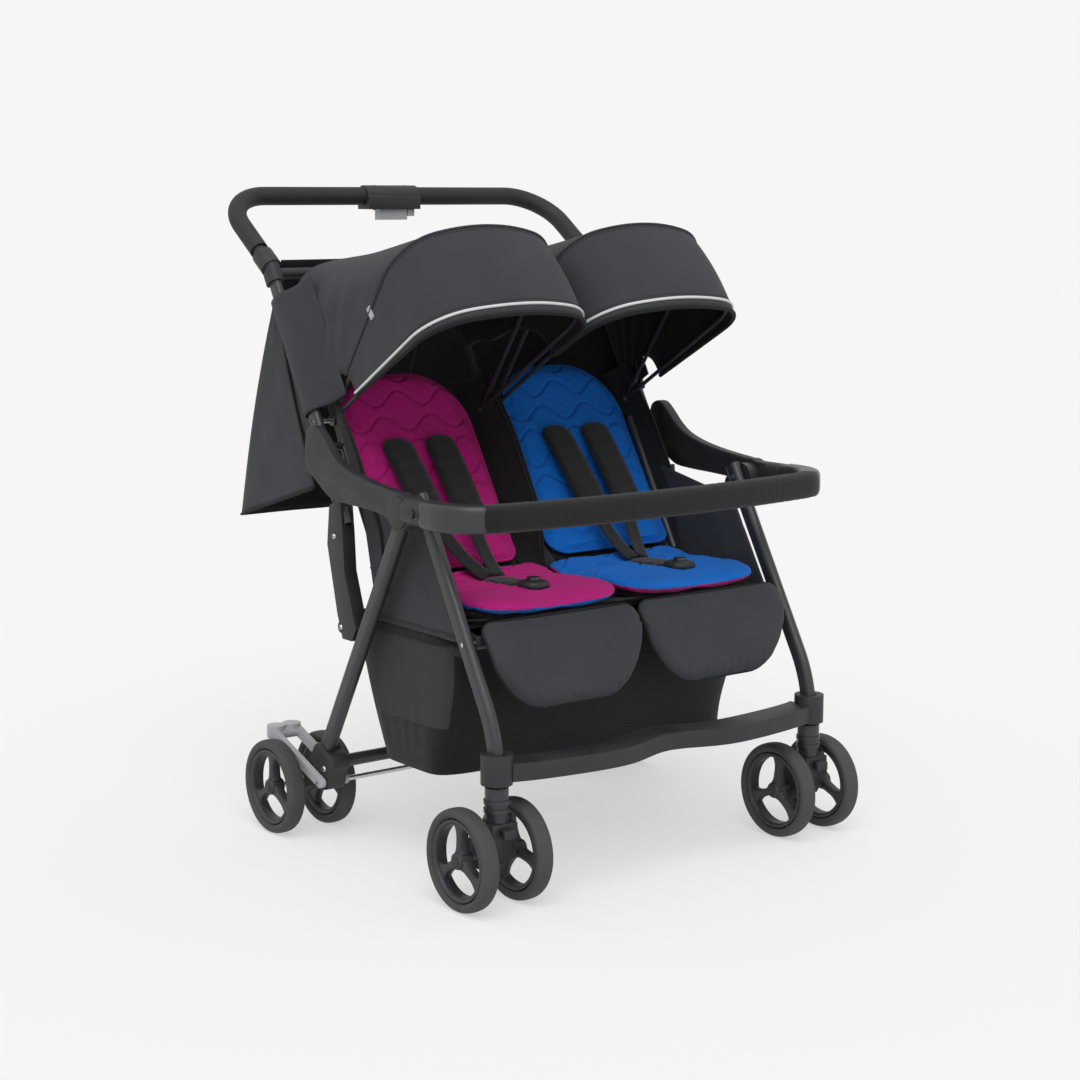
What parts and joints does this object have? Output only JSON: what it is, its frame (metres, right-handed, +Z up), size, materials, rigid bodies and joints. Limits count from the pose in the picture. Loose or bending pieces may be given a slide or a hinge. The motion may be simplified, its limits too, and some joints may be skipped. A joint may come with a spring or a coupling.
{
  "type": "side by side double stroller",
  "caption": "Folding side by side double stroller with twin quilted seats, hoods, swivel front casters, a bumper bar and a basket under the seats.",
  "frame": {"origin": "on the floor, under the middle of the overall length and width", "axes": "+Z up, -Y the way the seats face, +X to the right of someone who looks at the front"},
  "size_m": [0.759, 0.8012, 1.018],
  "materials": {
    "frame": "satin black",
    "steel": "bright zinc",
    "wheel": "matt black hub and tyre",
    "grey_plastic": "light grey, satin",
    "grip_rubber": "matt rubber",
    "liner_magenta": "quilted",
    "liner_blue": "quilted",
    "webbing": "woven webbing and padded cloth",
    "buckle_button": "dark grey, gloss",
    "basket_cloth": "black cloth and mesh",
    "canopy_cloth": "charcoal woven cloth",
    "plastic": "moulded, fine texture"
  },
  "bodies": {
    "front_frame": {"front_legs": "frame", "footrest": "plastic", "leg_pins": "steel", "basket": "basket_cloth", "side_panels": "canopy_cloth"},
    "caster_left": {"fork_left": "plastic", "front_axle_left": "steel"},
    "caster_right": {"fork_right": "plastic", "front_axle_right": "steel"},
    "lock_left": {"swivel_lock_left": "plastic"},
    "lock_right": {"swivel_lock_right": "plastic"},
    "front_wheel_1": {"front_wheel_1": "wheel"},
    "front_wheel_2": {"front_wheel_2": "wheel"},
    "front_wheel_3": {"front_wheel_3": "wheel"},
    "front_wheel_4": {"front_wheel_4": "wheel"},
    "rear_wheel_1": {"rear_wheel_1": "wheel"},
    "rear_wheel_2": {"rear_wheel_2": "wheel"},
    "rear_wheel_3": {"rear_wheel_3": "wheel"},
    "rear_wheel_4": {"rear_wheel_4": "wheel"},
    "rear_frame": {"rear_legs": "frame", "rear_cross_tube": "frame", "rear_housings": "plastic", "rear_axles": "steel"},
    "brake": {"brake_pedal": "grey_plastic", "brake_rod": "steel"},
    "arms": {"armrests": "plastic"},
    "bumper": {"bumper_tube": "frame", "bumper_cover": "canopy_cloth"},
    "bumper_release_left": {"bumper_button_left": "plastic"},
    "bumper_release_right": {"bumper_button_right": "plastic"},
    "handle": {"handle_tube": "frame", "arm_pins": "steel", "grip": "grip_rubber", "handle_cross": "plastic", "fold_housing": "plastic", "latch_housings": "plastic", "back_frame": "frame", "rear_curtains": "canopy_cloth"},
    "lever": {"fold_lever": "grey_plastic"},
    "safety": {"safety_button": "grey_plastic"},
    "sleeves": {"latch_sleeves": "plastic"},
    "seat": {"seat_frame": "frame", "seat_base": "canopy_cloth", "seat_liner_left": "liner_magenta", "seat_liner_right": "liner_blue", "crotch_straps": "webbing"},
    "buckle_left": {"buckle_button_left": "buckle_button"},
    "buckle_right": {"buckle_button_right": "buckle_button"},
    "back_left": {"backrest_left": "canopy_cloth", "back_liner_left": "liner_magenta", "harness_left": "webbing"},
    "back_right": {"backrest_right": "canopy_cloth", "back_liner_right": "liner_blue", "harness_right": "webbing"},
    "calf_left": {"calf_left": "canopy_cloth"},
    "calf_right": {"calf_right": "canopy_cloth"},
    "canopy_left": {"canopy_bows_left": "frame", "canopy_left": "canopy_cloth"},
    "canopy_right": {"canopy_bows_right": "frame", "canopy_right": "canopy_cloth"}
  },
  "joints": [
    {"name": "frame_fold", "type": "hinge", "parent": "front_frame", "child": "arms", "pos_m": [0, -0.16795, 0.552], "axis": [-1, 0, 0], "range_deg": [0, 75], "deforming": ["basket", "side_panels", "canopy_left", "canopy_right"]},
    {"name": "handle_pivot", "type": "hinge", "parent": "arms", "child": "handle", "pos_m": [0, 0.06519, 0.59986], "axis": [1, 0, 0], "range_deg": [0, 75]},
    {"name": "seat_pivot", "type": "hinge", "parent": "front_frame", "child": "seat", "pos_m": [0, -0.27118, 0.37028], "axis": [-1, 0, 0], "range_deg": [0, 75]},
    {"name": "rear_leg_pivot", "type": "hinge", "parent": "front_frame", "child": "rear_frame", "pos_m": [0, -0.16795, 0.552], "axis": [-1, 0, 0], "range_deg": [0, 33]},
    {"name": "caster_swivel_left", "type": "hinge", "parent": "front_frame", "child": "caster_left", "pos_m": [-0.304, -0.34357, 0.1], "axis": [0, 0, 1], "continuous": true},
    {"name": "swivel_lock_left_slide", "type": "slide", "parent": "caster_left", "child": "lock_left", "axis": [0, -1, 0], "range_m": [0, 0.006]},
    {"name": "caster_swivel_right", "type": "hinge", "parent": "front_frame", "child": "caster_right", "pos_m": [0.304, -0.34357, 0.1], "axis": [0, 0, 1], "continuous": true},
    {"name": "swivel_lock_right_slide", "type": "slide", "parent": "caster_right", "child": "lock_right", "axis": [0, -1, 0], "range_m": [0, 0.006]},
    {"name": "front_wheel_1_spin", "type": "hinge", "parent": "caster_left", "child": "front_wheel_1", "pos_m": [-0.351, -0.32557, 0.075], "axis": [1, 0, 0], "continuous": true},
    {"name": "front_wheel_2_spin", "type": "hinge", "parent": "caster_left", "child": "front_wheel_2", "pos_m": [-0.257, -0.32557, 0.075], "axis": [1, 0, 0], "continuous": true},
    {"name": "front_wheel_3_spin", "type": "hinge", "parent": "caster_right", "child": "front_wheel_3", "pos_m": [0.257, -0.32557, 0.075], "axis": [1, 0, 0], "continuous": true},
    {"name": "front_wheel_4_spin", "type": "hinge", "parent": "caster_right", "child": "front_wheel_4", "pos_m": [0.351, -0.32557, 0.075], "axis": [1, 0, 0], "continuous": true},
    {"name": "rear_wheel_1_spin", "type": "hinge", "parent": "rear_frame", "child": "rear_wheel_1", "pos_m": [-0.3655, 0.17143, 0.075], "axis": [1, 0, 0], "continuous": true},
    {"name": "rear_wheel_2_spin", "type": "hinge", "parent": "rear_frame", "child": "rear_wheel_2", "pos_m": [-0.2715, 0.17143, 0.075], "axis": [1, 0, 0], "continuous": true},
    {"name": "rear_wheel_3_spin", "type": "hinge", "parent": "rear_frame", "child": "rear_wheel_3", "pos_m": [0.2715, 0.17143, 0.075], "axis": [1, 0, 0], "continuous": true},
    {"name": "rear_wheel_4_spin", "type": "hinge", "parent": "rear_frame", "child": "rear_wheel_4", "pos_m": [0.3655, 0.17143, 0.075], "axis": [1, 0, 0], "continuous": true},
    {"name": "brake_press", "type": "hinge", "parent": "rear_frame", "child": "brake", "pos_m": [-0.3185, 0.07243, 0.097], "axis": [-1, 0, 0], "range_deg": [0, 12]},
    {"name": "bumper_pull", "type": "slide", "parent": "arms", "child": "bumper", "axis": [0, -1, 0], "range_m": [0, 0.045]},
    {"name": "bumper_button_left_press", "type": "slide", "parent": "arms", "child": "bumper_release_left", "axis": [1, 0, 0], "range_m": [0, 0.004], "stiffness_N_per_m": 800},
    {"name": "bumper_button_right_press", "type": "slide", "parent": "arms", "child": "bumper_release_right", "axis": [-1, 0, 0], "range_m": [0, 0.004], "stiffness_N_per_m": 800},
    {"name": "fold_lever_pull", "type": "slide", "parent": "handle", "child": "lever", "axis": [0, 0, 1], "range_m": [0, 0.007], "stiffness_N_per_m": 700},
    {"name": "safety_button_press", "type": "slide", "parent": "handle", "child": "safety", "axis": [0, 0, 1], "range_m": [0, 0.004], "stiffness_N_per_m": 500},
    {"name": "latch_sleeve_slide", "type": "slide", "parent": "handle", "child": "sleeves", "axis": [0, 0.4939, 0.8695], "range_m": [0, 0.008]},
    {"name": "buckle_left_press", "type": "slide", "parent": "seat", "child": "buckle_left", "axis": [0, -0.0436, -0.999], "range_m": [0, 0.003], "stiffness_N_per_m": 500},
    {"name": "buckle_right_press", "type": "slide", "parent": "seat", "child": "buckle_right", "axis": [0, -0.0436, -0.999], "range_m": [0, 0.003], "stiffness_N_per_m": 500},
    {"name": "recline_left", "type": "hinge", "parent": "handle", "child": "back_left", "pos_m": [-0.156, -0.03804, 0.41813], "axis": [-1, 0, 0], "range_deg": [0, 30]},
    {"name": "calf_left_lift", "type": "hinge", "parent": "seat", "child": "calf_left", "pos_m": [-0.143, -0.27118, 0.37028], "axis": [-1, 0, 0], "range_deg": [0, 60]},
    {"name": "canopy_left_fold", "type": "hinge", "parent": "handle", "child": "canopy_left", "pos_m": [-0.151, 0.09927, 0.65985], "axis": [-1, 0, 0], "range_deg": [0, 58], "deforming": ["canopy_left"]},
    {"name": "recline_right", "type": "hinge", "parent": "handle", "child": "back_right", "pos_m": [0.156, -0.03804, 0.41813], "axis": [-1, 0, 0], "range_deg": [0, 30]},
    {"name": "calf_right_lift", "type": "hinge", "parent": "seat", "child": "calf_right", "pos_m": [0.143, -0.27118, 0.37028], "axis": [-1, 0, 0], "range_deg": [0, 60]},
    {"name": "canopy_right_fold", "type": "hinge", "parent": "handle", "child": "canopy_right", "pos_m": [0.151, 0.09927, 0.65985], "axis": [-1, 0, 0], "range_deg": [0, 58], "deforming": ["canopy_right"]}
  ],
  "couplings": [
    {"joint": "handle_pivot", "follows": "frame_fold", "ratio": 1},
    {"joint": "seat_pivot", "follows": "frame_fold", "ratio": 1},
    {"joint": "rear_leg_pivot", "follows": "frame_fold", "ratio": 0.44},
    {"joint": "latch_sleeve_slide", "follows": "fold_lever_pull", "ratio": 1.1429}
  ]
}
